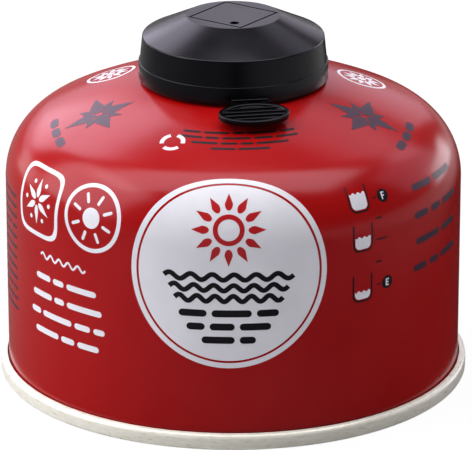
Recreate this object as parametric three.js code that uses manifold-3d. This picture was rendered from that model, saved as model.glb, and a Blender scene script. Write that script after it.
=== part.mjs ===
// A camping-gas fuel canister: a drawn steel can with its seamed tinplate end, the crimped
// valve in its neck and the press-on cap over it.
// Millimetres, +Z up. The origin is the centre of the face that the can stands on,
// the printed front faces -Y and the cap's pull tab lies a little to the right of it.

import * as THREE from "three";
import { mergeVertices } from "three/addons/utils/BufferGeometryUtils.js";
import Module from "manifold-3d";

const wasm = await Module();
wasm.setup();

// Driving dimensions of the can
const BODY_RADIUS = 43.5;
const BODY_WALL = 0.4;
const SHOULDER_START = 39;
const SHOULDER_RADIUS = 13.6;
const SHOULDER_ANGLE = 65.5;
const CROWN_RADIUS = 100;
const NECK_BORE_RADIUS = 12.7;
const CURL_WIDTH = 3;
const CURL_HEIGHT = 2.6;
const CURL_ROUNDING = 0.6;

// Driving dimensions of the seamed end
const SEAM_STANDOUT = 1.5;
const SEAM_HEIGHT = 3;
const SEAM_ROUNDING = 0.5;
const SEAM_FOOT = 0.9;
const END_WALL = 0.5;
const END_CORNER_RADIUS = 1.2;
const END_CORNER_HEIGHT = 2.8;
const END_DOME_RISE = 4.5;

// Driving dimensions of the valve
const CUP_WALL = 0.4;
const CUP_DEPTH = 4.4;
const CUP_ROUNDING = 0.7;
const RIM_SKIRT = 2.8;
const CUP_GASKET_THICKNESS = 0.4;
const BOSS_RADIUS = 5.56;
const BOSS_HEIGHT = 10.5;
const BOSS_CHAMFER = 0.4;
const BOSS_FOOT_RADIUS = 0.8;
const BOSS_HOLE_RADIUS = 2;
const CRIMP_HEIGHT = 1.8;
const CRIMP_DEPTH = 0.6;
const CRIMP_WIDTH = 0.5;
const SEAL_THICKNESS = 0.6;
const HOUSING_WALL = 0.9;
const HOUSING_BORE_DEPTH = 15;
const HOUSING_FLOOR = 1;
const SPIGOT_RADIUS = 2;
const SPIGOT_LENGTH = 2.5;
const INLET_RADIUS = 0.8;
const BORE_CLEARANCE = 2.5;
const STEM_CLEARANCE = 0.4;
const STEM_DISC_HEIGHT = 1.4;
const STEM_NIB_CLEARANCE = 0.6;
const STEM_SHAFT_RADIUS = 1.1;
const STEM_SHAFT_LENGTH = 5;
const SPRING_WIRE_RADIUS = 0.3;
const SPRING_TURNS = 6;

// Driving dimensions of the cap
const CAP_TURN = 9.6;
const CAP_RIM_CLEARANCE = 0.5;
const CAP_WALL = 1.1;
const CAP_SHOULDER_GAP = 0.6;
const CAP_BAND_HEIGHT = 3.4;
const CAP_LEDGE_WIDTH = 0.23;
const CAP_DRAFT = 0.48;
const CAP_EDGE_ROUNDING = 0.35;
const CAP_CONE_RISE = 3.75;
const CAP_DISC_RADIUS = 9;
const CAP_TOP_WALL = 1.3;
const CAP_BOSS_CLEARANCE = 1.4;
const CAP_BEAD_CLEARANCE = 0.2;
const CAP_BEAD_HEIGHT = 0.6;
const CAP_RIB_COUNT = 6;
const CAP_RIB_THICKNESS = 0.9;
const CAP_RIB_REACH = 1.9;
const CAP_RIB_EDGE = 1;
const CAP_RIB_SLOPE = 3.1;
const SQUARE_SIDE = 12.2;
const SQUARE_LINE = 0.3;
const SQUARE_DEPTH = 0.25;
const GATE_RADIUS = 0.95;
const GATE_DEPTH = 0.5;
const GATE_OFFSET = 5.25;
const GATE_TURN = 2.4;

// Driving dimensions of the pull tab
const TAB_BLOCK_WIDTH = 6.9;
const TAB_BLOCK_DEPTH = 0.5;
const TAB_BLOCK_HEIGHT = 1.3;
const TAB_HINGE_LENGTH = 1.2;
const TAB_HINGE_COUNT = 4;
const TAB_HINGE_THICKNESS = 0.5;
const TAB_PADDLE_WIDTH = 13.3;
const TAB_PADDLE_LENGTH = 7.3;
const TAB_TILT = 11.4;
const TAB_FLOOR = 0.7;
const TAB_LIP_HEIGHT = 0.4;
const TAB_LIP_WIDTH = 0.75;
const TAB_GRIP_COUNT = 4;
const TAB_GRIP_PITCH = 1.25;
const TAB_GRIP_WIDTH = 0.45;
const TAB_GRIP_HEIGHT = 0.3;

// Clearance between nested pieces, and how far a joined feature roots into its carrier
const FIT_GAP = 0.3;
const ROOT_DEPTH = 0.4;

// Facets round the can and cap, the valve and the gate's dimple, and along one turn of the spring
const CAN_FACETS = 60;
const VALVE_FACETS = 32;
const GATE_FACETS = 16;
const SPRING_STEPS = 12;
const WIRE_SIDES = 6;

// Places that follow from the sizes: the can's shoulder and crown
const shoulderEnd = THREE.MathUtils.degToRad(SHOULDER_ANGLE);
const shoulderCentre = new THREE.Vector2(BODY_RADIUS - SHOULDER_RADIUS, SHOULDER_START);
const crownCentre = shoulderCentre.clone().add(polar(SHOULDER_RADIUS - CROWN_RADIUS, shoulderEnd));
const curlRadius = NECK_BORE_RADIUS + CURL_WIDTH;
const curlTop = crownHeight(curlRadius) + CURL_HEIGHT;

// Places that follow from the sizes: the seamed end
const seamRadius = BODY_RADIUS + SEAM_STANDOUT;
const seamChannelRadius = BODY_RADIUS + FIT_GAP;
const skirtInnerRadius = BODY_RADIUS - BODY_WALL;
const endWallOuterRadius = skirtInnerRadius - FIT_GAP;
const endWallInnerRadius = endWallOuterRadius - END_WALL;
const endCorner = new THREE.Vector2(endWallInnerRadius - END_CORNER_RADIUS, END_CORNER_HEIGHT);
const endDomeReach = (endCorner.x ** 2 + END_DOME_RISE ** 2) / (2 * END_DOME_RISE);
const endDomeAngle = Math.acos(endCorner.x / endDomeReach);

// Places that follow from the sizes: the valve
const rimTop = curlTop + CUP_GASKET_THICKNESS + CUP_WALL;
const rimRadius = curlRadius + FIT_GAP + CUP_WALL;
const cupOuterRadius = NECK_BORE_RADIUS - FIT_GAP;
const cupInnerRadius = cupOuterRadius - CUP_WALL;
const cupFloor = rimTop - CUP_DEPTH;
const bossTop = cupFloor + BOSS_HEIGHT;
const bossInnerRadius = BOSS_RADIUS - CUP_WALL;
const crimpZ = cupFloor + CRIMP_HEIGHT;
const sealTop = bossTop - CUP_WALL;
const sealBottom = sealTop - SEAL_THICKNESS;
const housingFlangeRadius = bossInnerRadius - FIT_GAP;
const housingRadius = housingFlangeRadius - CRIMP_DEPTH;
const housingBoreRadius = housingRadius - HOUSING_WALL;
const housingFloor = sealBottom - HOUSING_BORE_DEPTH;
const housingEnd = housingFloor - HOUSING_FLOOR - SPIGOT_LENGTH;
const stemRadius = housingBoreRadius - STEM_CLEARANCE;
const stemDiscBottom = sealBottom - STEM_DISC_HEIGHT;

// Places that follow from the sizes: the cap
const bandInnerRadius = rimRadius + CAP_RIM_CLEARANCE;
const bandRadius = bandInnerRadius + CAP_WALL;
const bandBottom = crownHeight(bandRadius) + CAP_SHOULDER_GAP;
const ledgeZ = bandBottom + CAP_BAND_HEIGHT;
const skirtBottomRadius = bandRadius - CAP_LEDGE_WIDTH;
const skirtTopRadius = skirtBottomRadius - CAP_DRAFT;
const discUnderside = bossTop + CAP_BOSS_CLEARANCE;
const discTop = discUnderside + CAP_TOP_WALL;
const skirtTop = discTop - CAP_CONE_RISE;

// Materials, with the colours of the real finishes
const redPaint = new THREE.MeshStandardMaterial({ color: 0xa3171b, roughness: 0.25, metalness: 0.1 });
const tinplate = new THREE.MeshStandardMaterial({ color: 0xc9c2b4, roughness: 0.3, metalness: 1 });
const blackPlastic = new THREE.MeshStandardMaterial({ color: 0x141416, roughness: 0.4, metalness: 0 });
const rubber = new THREE.MeshStandardMaterial({ color: 0x1d1d1f, roughness: 0.8, metalness: 0 });
const whitePlastic = new THREE.MeshStandardMaterial({ color: 0xd9d8d2, roughness: 0.5, metalness: 0 });
const springSteel = new THREE.MeshStandardMaterial({ color: 0xb4b6b8, roughness: 0.3, metalness: 1 });

// A vector of the given length at an angle in radians
function polar(length, angle) {
  return new THREE.Vector2(length * Math.cos(angle), length * Math.sin(angle));
}

// Height of the can's crown at a radius inside the shoulder's arc
function crownHeight(radius) {
  return crownCentre.y + Math.sqrt(CROWN_RADIUS ** 2 - (radius - crownCentre.x) ** 2);
}

// Points [radius, height] along an arc, both ends included
function arc(centreR, centreZ, radius, fromAngle, toAngle, steps) {
  const points = [];
  for (let i = 0; i <= steps; i += 1) {
    const angle = fromAngle + ((toAngle - fromAngle) * i) / steps;
    points.push([centreR + radius * Math.cos(angle), centreZ + radius * Math.sin(angle)]);
  }
  return points;
}

// Points along a quarter arc that rounds a corner, its angles in quarter turns
function rounded(centreR, centreZ, radius, fromQuarter, toQuarter, steps = 2) {
  return arc(centreR, centreZ, radius, (fromQuarter * Math.PI) / 2, (toQuarter * Math.PI) / 2, steps);
}

// A solid of revolution about Z from an outline that runs anticlockwise in (radius, height)
function turned(outline, facets) {
  const points = outline.map(([radius, height]) => new THREE.Vector2(radius, height));
  return new THREE.LatheGeometry(points, facets).rotateX(Math.PI / 2);
}

// An upright prism from a flat shape
function prism(shape, bottom, height, curveSegments = 8) {
  const options = { depth: height, bevelEnabled: false, curveSegments };
  return new THREE.ExtrudeGeometry(shape, options).translate(0, 0, bottom);
}

// A box given by its lowest corner and its size
function block(x, y, z, width, depth, height) {
  return new THREE.BoxGeometry(width, depth, height).translate(x + width / 2, y + depth / 2, z + height / 2);
}

// A three.js geometry as a solid that can be joined and cut
function solid(geometry) {
  const bare = geometry.clone();
  bare.deleteAttribute("normal");
  bare.deleteAttribute("uv");
  const merged = mergeVertices(bare);
  const corners = merged.index.array;
  const faces = [];
  for (let i = 0; i < corners.length; i += 3) {
    const [a, b, c] = corners.slice(i, i + 3);
    if (a !== b && b !== c && c !== a) {
      faces.push(a, b, c);
    }
  }
  const vertProperties = new Float32Array(merged.attributes.position.array);
  const triVerts = new Uint32Array(faces);
  return new wasm.Manifold(new wasm.Mesh({ numProp: 3, vertProperties, triVerts }));
}

// The geometry of a joined or cut solid
function geometryOf(cut) {
  const mesh = cut.getMesh();
  const geometry = new THREE.BufferGeometry();
  geometry.setAttribute("position", new THREE.BufferAttribute(mesh.vertProperties, 3));
  geometry.setIndex(new THREE.BufferAttribute(mesh.triVerts, 1));
  geometry.computeVertexNormals();
  return geometry;
}

// A named mesh
function piece(name, geometry, material) {
  const mesh = new THREE.Mesh(geometry, material);
  mesh.name = name;
  return mesh;
}

// The end panel's section at a distance above its underside: corner, then dome, to the axis
function endPanel(offset) {
  const domeCentreZ = END_CORNER_HEIGHT + END_DOME_RISE - endDomeReach;
  const corner = arc(endCorner.x, endCorner.y, END_CORNER_RADIUS + offset, 0, endDomeAngle, 3);
  const domeRadius = endDomeReach + END_CORNER_RADIUS + offset;
  const dome = arc(0, domeCentreZ, domeRadius, endDomeAngle, Math.PI / 2, 6).slice(1);
  dome[dome.length - 1][0] = 0;
  return [...corner, ...dome];
}

// The painted can, with its contents as one solid: a skirt that stands in the seam,
// the straight wall, the rounded shoulder, the crown, the curl and the valve's bore
function canBody() {
  const crownEnd = Math.acos((curlRadius - crownCentre.x) / CROWN_RADIUS);
  const boreFloor = housingEnd - BORE_CLEARANCE;
  const outline = [
    ...endPanel(END_WALL + FIT_GAP).reverse(),
    [skirtInnerRadius, SEAM_FOOT],
    [BODY_RADIUS, SEAM_FOOT],
    ...arc(shoulderCentre.x, shoulderCentre.y, SHOULDER_RADIUS, 0, shoulderEnd, 8),
    ...arc(crownCentre.x, crownCentre.y, CROWN_RADIUS, shoulderEnd, crownEnd, 3).slice(1),
    ...rounded(curlRadius - CURL_ROUNDING, curlTop - CURL_ROUNDING, CURL_ROUNDING, 0, 1),
    ...rounded(NECK_BORE_RADIUS + CURL_ROUNDING, curlTop - CURL_ROUNDING, CURL_ROUNDING, 1, 2),
    [NECK_BORE_RADIUS, boreFloor],
    [0, boreFloor],
  ];
  return piece("can_body", turned(outline, CAN_FACETS), redPaint);
}

// The tinplate end: a folded seam round the can's foot, the wall inside it and the domed panel
function bottomEnd() {
  const footRadius = endWallInnerRadius + SEAM_ROUNDING;
  const outline = [
    ...endPanel(0).reverse(),
    ...rounded(footRadius, SEAM_ROUNDING, SEAM_ROUNDING, 2, 3),
    ...rounded(seamRadius - SEAM_ROUNDING, SEAM_ROUNDING, SEAM_ROUNDING, 3, 4),
    ...rounded(seamRadius - SEAM_ROUNDING, SEAM_HEIGHT - SEAM_ROUNDING, SEAM_ROUNDING, 0, 1),
    [seamChannelRadius, SEAM_HEIGHT],
    [seamChannelRadius, SEAM_FOOT],
    [endWallOuterRadius, SEAM_FOOT],
    ...endPanel(END_WALL),
  ];
  return piece("bottom_end", turned(outline, CAN_FACETS), tinplate);
}

// The valve's mounting cup: a rim over the can's curl, a sunken floor and the threaded boss,
// whose foot is crimped in over the housing
function valveCup() {
  const rimUnderside = rimTop - CUP_WALL;
  const innerRounding = CUP_ROUNDING - CUP_WALL;
  const crimpRadius = bossInnerRadius - CRIMP_DEPTH;
  const footZ = cupFloor + BOSS_FOOT_RADIUS;
  const footR = BOSS_RADIUS + BOSS_FOOT_RADIUS;
  const outline = [
    [rimRadius - CUP_WALL, rimTop - RIM_SKIRT],
    [rimRadius, rimTop - RIM_SKIRT],
    ...rounded(rimRadius - CUP_ROUNDING, rimTop - CUP_ROUNDING, CUP_ROUNDING, 0, 1),
    ...rounded(cupInnerRadius + CUP_ROUNDING, rimTop - CUP_ROUNDING, CUP_ROUNDING, 1, 2),
    ...rounded(cupInnerRadius - CUP_ROUNDING, cupFloor + CUP_ROUNDING, CUP_ROUNDING, 0, -1),
    ...rounded(footR, footZ, BOSS_FOOT_RADIUS, 3, 2),
    [BOSS_RADIUS, crimpZ - CRIMP_WIDTH],
    [BOSS_RADIUS - CRIMP_DEPTH, crimpZ],
    [BOSS_RADIUS, crimpZ + CRIMP_WIDTH],
    [BOSS_RADIUS, bossTop - BOSS_CHAMFER],
    [BOSS_RADIUS - BOSS_CHAMFER, bossTop],
    [BOSS_HOLE_RADIUS, bossTop],
    [BOSS_HOLE_RADIUS, sealTop],
    [bossInnerRadius, sealTop],
    [bossInnerRadius, crimpZ + CRIMP_WIDTH],
    [crimpRadius, crimpZ],
    [bossInnerRadius, crimpZ - CRIMP_WIDTH],
    ...rounded(footR, footZ, BOSS_FOOT_RADIUS + CUP_WALL, 2, 3),
    ...rounded(cupInnerRadius - CUP_ROUNDING, cupFloor + CUP_ROUNDING, CUP_ROUNDING + CUP_WALL, -1, 0),
    ...rounded(cupOuterRadius + innerRounding, rimUnderside - innerRounding, innerRounding, 2, 1),
    ...rounded(rimRadius - CUP_ROUNDING, rimUnderside - innerRounding, innerRounding, 1, 0),
  ];
  const closed = [...outline, outline[0]];
  return piece("valve_cup", turned(closed, VALVE_FACETS), tinplate);
}

// A flat ring
function ring(name, innerRadius, outerRadius, bottom, top, material) {
  const outline = [
    [innerRadius, bottom],
    [outerRadius, bottom],
    [outerRadius, top],
    [innerRadius, top],
    [innerRadius, bottom],
  ];
  return piece(name, turned(outline, VALVE_FACETS), material);
}

// The gasket squeezed between the can's curl and the cup's rim
function cupGasket() {
  const inner = NECK_BORE_RADIUS + CURL_ROUNDING;
  const outer = curlRadius - CURL_ROUNDING;
  return ring("cup_gasket", inner, outer, curlTop, curlTop + CUP_GASKET_THICKNESS, rubber);
}

// The seal under the boss's top, which the stem closes and the appliance's pin goes through
function stemSeal() {
  return ring("stem_seal", BOSS_HOLE_RADIUS, housingFlangeRadius, sealBottom, sealTop, rubber);
}

// The moulded housing that the crimp holds in the boss, with its inlet at the bottom
function valveHousing() {
  const flangeBottom = crimpZ + CRIMP_WIDTH + FIT_GAP;
  const outline = [
    [INLET_RADIUS, housingEnd],
    [SPIGOT_RADIUS, housingEnd],
    [SPIGOT_RADIUS, housingFloor - HOUSING_FLOOR],
    [housingRadius, housingFloor - HOUSING_FLOOR],
    [housingRadius, flangeBottom - CRIMP_DEPTH],
    [housingFlangeRadius, flangeBottom],
    [housingFlangeRadius, sealBottom],
    [housingBoreRadius, sealBottom],
    [housingBoreRadius, housingFloor],
    [INLET_RADIUS, housingFloor],
    [INLET_RADIUS, housingEnd],
  ];
  return piece("valve_housing", turned(outline, VALVE_FACETS), whitePlastic);
}

// The stem: a disc that seals from below, a nib for the appliance's pin and a spring guide
function valveStem() {
  const nibRadius = BOSS_HOLE_RADIUS - STEM_NIB_CLEARANCE;
  const outline = [
    [0, stemDiscBottom - STEM_SHAFT_LENGTH],
    [STEM_SHAFT_RADIUS, stemDiscBottom - STEM_SHAFT_LENGTH],
    [STEM_SHAFT_RADIUS, stemDiscBottom],
    [stemRadius, stemDiscBottom],
    [stemRadius, sealBottom],
    [nibRadius, sealBottom],
    [nibRadius, sealTop],
    [0, sealTop],
  ];
  return piece("valve_stem", turned(outline, VALVE_FACETS), whitePlastic);
}

// The coil spring between the housing's floor and the stem's disc
class Helix extends THREE.Curve {
  constructor(radius, bottom, top, turns) {
    super();
    Object.assign(this, { radius, bottom, top, turns });
  }

  getPoint(t, target = new THREE.Vector3()) {
    const angle = 2 * Math.PI * this.turns * t;
    const height = THREE.MathUtils.lerp(this.bottom, this.top, t);
    return target.set(this.radius * Math.cos(angle), this.radius * Math.sin(angle), height);
  }
}

function valveSpring() {
  const endGap = SPRING_WIRE_RADIUS + FIT_GAP / 2;
  const coilRadius = stemRadius - SPRING_WIRE_RADIUS;
  const path = new Helix(coilRadius, housingFloor + endGap, stemDiscBottom - endGap, SPRING_TURNS);
  const wire = new THREE.Shape();
  for (let i = 0; i < WIRE_SIDES; i += 1) {
    const corner = polar(SPRING_WIRE_RADIUS, (2 * Math.PI * i) / WIRE_SIDES);
    if (i === 0) {
      wire.moveTo(corner.x, corner.y);
    } else {
      wire.lineTo(corner.x, corner.y);
    }
  }
  const options = { steps: SPRING_TURNS * SPRING_STEPS, extrudePath: path, bevelEnabled: false };
  return piece("valve_spring", new THREE.ExtrudeGeometry(wire, options), springSteel);
}

// The cap's turned shell: disc, cone, skirt, ledge and band, with the snap bead inside its foot
function capShell() {
  const beadRadius = rimRadius + CAP_BEAD_CLEARANCE;
  const beadTop = bandBottom + CAP_BEAD_HEIGHT;
  const coneInnerZ = skirtTop - CAP_EDGE_ROUNDING - CAP_WALL / 2;
  const coneNormal = Math.atan2(skirtTopRadius - CAP_DISC_RADIUS, CAP_CONE_RISE);
  const edge = new THREE.Vector2(skirtTopRadius - CAP_EDGE_ROUNDING, skirtTop - CAP_EDGE_ROUNDING);
  const outline = [
    [beadRadius, bandBottom],
    [bandRadius, bandBottom],
    [bandRadius, ledgeZ],
    [skirtBottomRadius, ledgeZ],
    ...arc(edge.x, edge.y, CAP_EDGE_ROUNDING, 0, coneNormal, 2),
    [CAP_DISC_RADIUS, discTop],
    [0, discTop],
  ];
  const inside = [
    [0, discUnderside],
    [CAP_DISC_RADIUS - CAP_WALL / 2, discUnderside],
    [skirtTopRadius - CAP_WALL, coneInnerZ],
    [skirtBottomRadius - CAP_WALL, ledgeZ],
    [bandInnerRadius, ledgeZ - CAP_WALL / 2],
    [bandInnerRadius, beadTop],
    [beadRadius, beadTop - (bandInnerRadius - beadRadius)],
  ];
  return solid(turned([...inside, ...outline], CAN_FACETS));
}

// Ribs inside the cap that stand on the cup's rim
function capRibs() {
  const inner = rimRadius - CUP_ROUNDING - CAP_RIB_REACH;
  const outer = skirtTopRadius - CAP_WALL / 2;
  const shape = new THREE.Shape();
  shape.moveTo(inner, rimTop);
  shape.lineTo(outer, rimTop);
  shape.lineTo(outer, rimTop + CAP_RIB_EDGE + CAP_RIB_SLOPE);
  shape.lineTo(inner, rimTop + CAP_RIB_EDGE);
  const ribs = [];
  for (let i = 0; i < CAP_RIB_COUNT; i += 1) {
    const rib = prism(shape, -CAP_RIB_THICKNESS / 2, CAP_RIB_THICKNESS).rotateX(Math.PI / 2);
    ribs.push(solid(rib.rotateZ((2 * Math.PI * (i + 0.5)) / CAP_RIB_COUNT)));
  }
  return ribs;
}

// The thin square line sunk into the disc, and the moulding gate's dimple
function capMarks() {
  const outer = SQUARE_SIDE / 2;
  const inner = outer - SQUARE_LINE;
  const bottom = discTop - SQUARE_DEPTH;
  const height = SQUARE_DEPTH + ROOT_DEPTH;
  const frame = solid(block(-outer, -outer, bottom, 2 * outer, 2 * outer, height));
  const middle = solid(block(-inner, -inner, bottom, 2 * inner, 2 * inner, height));
  const square = frame.subtract(middle).rotate([0, 0, 45]);
  const gateHeight = GATE_DEPTH + ROOT_DEPTH;
  const gate = new THREE.CylinderGeometry(GATE_RADIUS, GATE_RADIUS, gateHeight, GATE_FACETS);
  gate.rotateX(Math.PI / 2);
  gate.translate(0, -GATE_OFFSET, discTop - GATE_DEPTH + gateHeight / 2);
  gate.rotateZ(THREE.MathUtils.degToRad(GATE_TURN - CAP_TURN));
  return [square, solid(gate)];
}

// An ellipse about the origin
function ellipse(halfWidth, halfLength) {
  const shape = new THREE.Shape();
  shape.absellipse(0, 0, halfWidth, halfLength, 0, 2 * Math.PI, false, 0);
  return shape;
}

// The tab's oval paddle, lying flat about its own centre, with its lip and grip bars
function tabPaddle() {
  const halfWidth = TAB_PADDLE_WIDTH / 2;
  const halfLength = TAB_PADDLE_LENGTH / 2;
  const rim = ellipse(halfWidth, halfLength);
  rim.holes.push(ellipse(halfWidth - TAB_LIP_WIDTH, halfLength - TAB_LIP_WIDTH));
  let paddle = solid(prism(ellipse(halfWidth, halfLength), 0, TAB_FLOOR));
  paddle = paddle.add(solid(prism(rim, 0, TAB_FLOOR + TAB_LIP_HEIGHT)));
  for (let i = 0; i < TAB_GRIP_COUNT; i += 1) {
    const y = (i - (TAB_GRIP_COUNT - 1) / 2) * TAB_GRIP_PITCH;
    const reach = halfWidth * Math.sqrt(1 - (y / halfLength) ** 2) - TAB_LIP_WIDTH / 2;
    const height = TAB_FLOOR / 2 + TAB_GRIP_HEIGHT;
    const bar = block(-reach, y - TAB_GRIP_WIDTH / 2, TAB_FLOOR / 2, 2 * reach, TAB_GRIP_WIDTH, height);
    paddle = paddle.add(solid(bar));
  }
  return paddle;
}

// The pull tab towards -Y: a block on the band, thin hinge webs and the tilted paddle
function pullTab() {
  const blockStart = bandRadius - CAP_WALL / 2;
  const blockEnd = bandRadius + TAB_BLOCK_DEPTH;
  const hingeEnd = blockEnd + TAB_HINGE_LENGTH + ROOT_DEPTH;
  const half = TAB_BLOCK_WIDTH / 2;
  const parts = [
    solid(block(-half, -blockEnd, bandBottom, 2 * half, blockEnd - blockStart, TAB_BLOCK_HEIGHT)),
    solid(block(-half, -hingeEnd, bandBottom, 2 * half, hingeEnd - blockStart, TAB_HINGE_THICKNESS)),
  ];
  const pitch = TAB_BLOCK_WIDTH / TAB_HINGE_COUNT;
  const ribWidth = pitch / 2;
  const ribHeight = TAB_HINGE_THICKNESS + TAB_LIP_HEIGHT;
  for (let i = 0; i < TAB_HINGE_COUNT; i += 1) {
    const left = -half + i * pitch + (pitch - ribWidth) / 2;
    parts.push(solid(block(left, -hingeEnd, bandBottom, ribWidth, hingeEnd - blockStart, ribHeight)));
  }
  const tilt = THREE.MathUtils.degToRad(TAB_TILT);
  const reach = (TAB_PADDLE_LENGTH / 2) * Math.cos(tilt);
  const drop = (TAB_PADDLE_LENGTH / 2) * Math.sin(tilt);
  const centreY = -(blockEnd + TAB_HINGE_LENGTH + reach - ROOT_DEPTH);
  const paddle = tabPaddle().rotate([TAB_TILT, 0, 0]);
  parts.push(paddle.translate([0, centreY, bandBottom - drop]));
  return parts;
}

// The moulded cap, turned so that its tab points a little to the right of the front
function cap() {
  let body = capShell();
  for (const part of [...capRibs(), ...pullTab()]) {
    body = body.add(part);
  }
  for (const mark of capMarks()) {
    body = body.subtract(mark);
  }
  const mesh = piece("cap", geometryOf(body), blackPlastic);
  mesh.rotation.z = THREE.MathUtils.degToRad(CAP_TURN);
  return mesh;
}

const canister = new THREE.Group();
canister.add(canBody(), bottomEnd(), valveCup(), cupGasket(), stemSeal());
canister.add(valveHousing(), valveStem(), valveSpring(), cap());

export default canister;
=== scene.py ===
from math import acos, atan2, ceil, cos, floor, hypot, pi, radians, sin, sqrt

import bmesh
import bpy
from mathutils import Matrix


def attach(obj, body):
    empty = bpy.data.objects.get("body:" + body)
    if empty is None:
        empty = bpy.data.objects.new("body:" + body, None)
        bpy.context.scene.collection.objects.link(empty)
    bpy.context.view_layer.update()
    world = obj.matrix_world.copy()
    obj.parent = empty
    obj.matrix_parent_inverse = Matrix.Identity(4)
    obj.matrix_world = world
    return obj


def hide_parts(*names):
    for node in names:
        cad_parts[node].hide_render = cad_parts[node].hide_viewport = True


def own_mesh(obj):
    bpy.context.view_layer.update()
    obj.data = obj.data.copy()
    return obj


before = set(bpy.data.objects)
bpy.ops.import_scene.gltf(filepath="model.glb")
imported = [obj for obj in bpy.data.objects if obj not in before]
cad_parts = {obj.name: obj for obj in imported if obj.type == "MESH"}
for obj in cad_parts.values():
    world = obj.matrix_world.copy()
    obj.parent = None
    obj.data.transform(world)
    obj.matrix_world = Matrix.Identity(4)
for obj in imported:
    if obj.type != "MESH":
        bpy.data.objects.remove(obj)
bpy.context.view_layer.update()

# The looks of the fuel canister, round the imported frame. Sections and print are worked out
# in millimetres, and every mesh is in metres. The printed front faces -Y.

MM = 0.001

# Sizes of the can and its seamed end, as in the part's source, but with a rounder seam top
BODY_RADIUS = 43.5
BODY_WALL = 0.4
SHOULDER_START = 39
SHOULDER_RADIUS = 13.6
SHOULDER_ANGLE = radians(65.5)
CROWN_RADIUS = 100
NECK_BORE_RADIUS = 12.7
CURL_WIDTH = 3
CURL_HEIGHT = 2.6
CURL_ROUNDING = 0.6
BORE_FLOOR = 45.51
SEAM_STANDOUT = 1.5
SEAM_HEIGHT = 3
SEAM_ROUNDING = 0.5
SEAM_TOP_ROUNDING = 0.95
SEAM_FOOT = 0.9
END_WALL = 0.5
END_CORNER_RADIUS = 1.2
END_CORNER_HEIGHT = 2.8
END_DOME_RISE = 4.5
FIT_GAP = 0.3

# Sizes of the valve's cup
CUP_WALL = 0.4
CUP_DEPTH = 4.4
CUP_ROUNDING = 0.7
RIM_SKIRT = 2.8
CUP_GASKET_THICKNESS = 0.4
BOSS_RADIUS = 5.56
BOSS_HEIGHT = 10.5
BOSS_CHAMFER = 0.4
BOSS_FOOT_RADIUS = 0.8
BOSS_HOLE_RADIUS = 2
CRIMP_HEIGHT = 1.8
CRIMP_DEPTH = 0.6
CRIMP_WIDTH = 0.5
THREAD_DEPTH = 0.28
THREAD_PITCH = 0.907
THREAD_TURNS = 7

# The thread's ridge: half its foot as a share of the pitch, its crest as a share of that,
# how far it roots into the boss, and its steps round one turn
THREAD_FOOT = 0.46
THREAD_CREST = 0.2
THREAD_ROOT = 0.1
THREAD_TURN_STEPS = 72

# Sizes of the spring under the valve's stem
SPRING_WIRE_RADIUS = 0.3
SPRING_COIL_RADIUS = 2.66
SPRING_TURNS = 6
SPRING_BOTTOM = 51.96
SPRING_TOP = 64.66
SPRING_WIRE_FACETS = 16
SPRING_TURN_STEPS = 48

# Sizes of the cap. The square line and the grip bars are 0.1 mm wider than in the part's
# source, and the line is 0.1 mm deeper, so that they show.
CAP_TURN = radians(9.6)
CAP_RIM_CLEARANCE = 0.5
CAP_WALL = 1.1
CAP_SHOULDER_GAP = 0.6
CAP_BAND_HEIGHT = 3.4
CAP_LEDGE_WIDTH = 0.23
CAP_DRAFT = 0.48
CAP_EDGE_ROUNDING = 0.35
CAP_FOOT_ROUNDING = 0.3
CAP_LEDGE_ROUNDING = 0.12
CAP_CONE_RISE = 3.75
CAP_DISC_RADIUS = 9
CAP_DISC_ROUNDING = 0.3
CAP_TOP_WALL = 1.3
CAP_BOSS_CLEARANCE = 1.4
CAP_BEAD_CLEARANCE = 0.2
CAP_BEAD_HEIGHT = 0.6
CAP_RIB_COUNT = 6
CAP_RIB_THICKNESS = 0.9
CAP_RIB_REACH = 1.9
CAP_RIB_EDGE = 1
CAP_RIB_SLOPE = 3.1
SQUARE_SIDE = 12.2
SQUARE_LINE = 0.4
SQUARE_DEPTH = 0.35
GATE_RADIUS = 0.95
GATE_FLOOR_SHARE = 0.85
GATE_FACETS = 48
GATE_DEPTH = 0.5
GATE_OFFSET = 5.25
GATE_TURN = radians(2.4)
TAB_BLOCK_WIDTH = 6.9
TAB_BLOCK_DEPTH = 0.5
TAB_BLOCK_HEIGHT = 1.3
TAB_BLOCK_ROUNDING = 0.15
TAB_HINGE_LENGTH = 1.2
TAB_HINGE_COUNT = 4
TAB_HINGE_THICKNESS = 0.5
TAB_HINGE_ROUNDING = 0.12
TAB_PADDLE_WIDTH = 13.3
TAB_PADDLE_LENGTH = 7.3
TAB_PADDLE_FACETS = 96
TAB_RIM_ROUNDING = 0.16
TAB_RIM_ANGLE = 0.8
TAB_TILT = radians(11.4)
TAB_FLOOR = 0.7
TAB_LIP_HEIGHT = 0.4
TAB_LIP_WIDTH = 0.75
TAB_LIP_SLOPE = 0.12
TAB_GRIP_COUNT = 4
TAB_GRIP_PITCH = 1.25
TAB_GRIP_WIDTH = 0.55
TAB_GRIP_HEIGHT = 0.3
TAB_GRIP_ROUNDING = 0.14
TAB_ROOT = 0.4

# The print: how far the first and the second ink stand proud, and how thick they are
FIRST_INK = 0.03
SECOND_INK = 0.055
INK_THICKNESS = 0.05
INK_RUN_STEP = 1.0
INK_TURN_STEP = 1.5

# Facets round the print's figures and along one wave, where a petal is widest along its
# length, and the height of the scale's ticks
BADGE_FACETS = 144
SIGN_FACETS = 96
CIRCLE_FACETS = 72
DOT_FACETS = 24
WAVE_STEPS = 16
PETAL_WIDEST = 0.38
TICK_HEIGHT = 0.26

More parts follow.
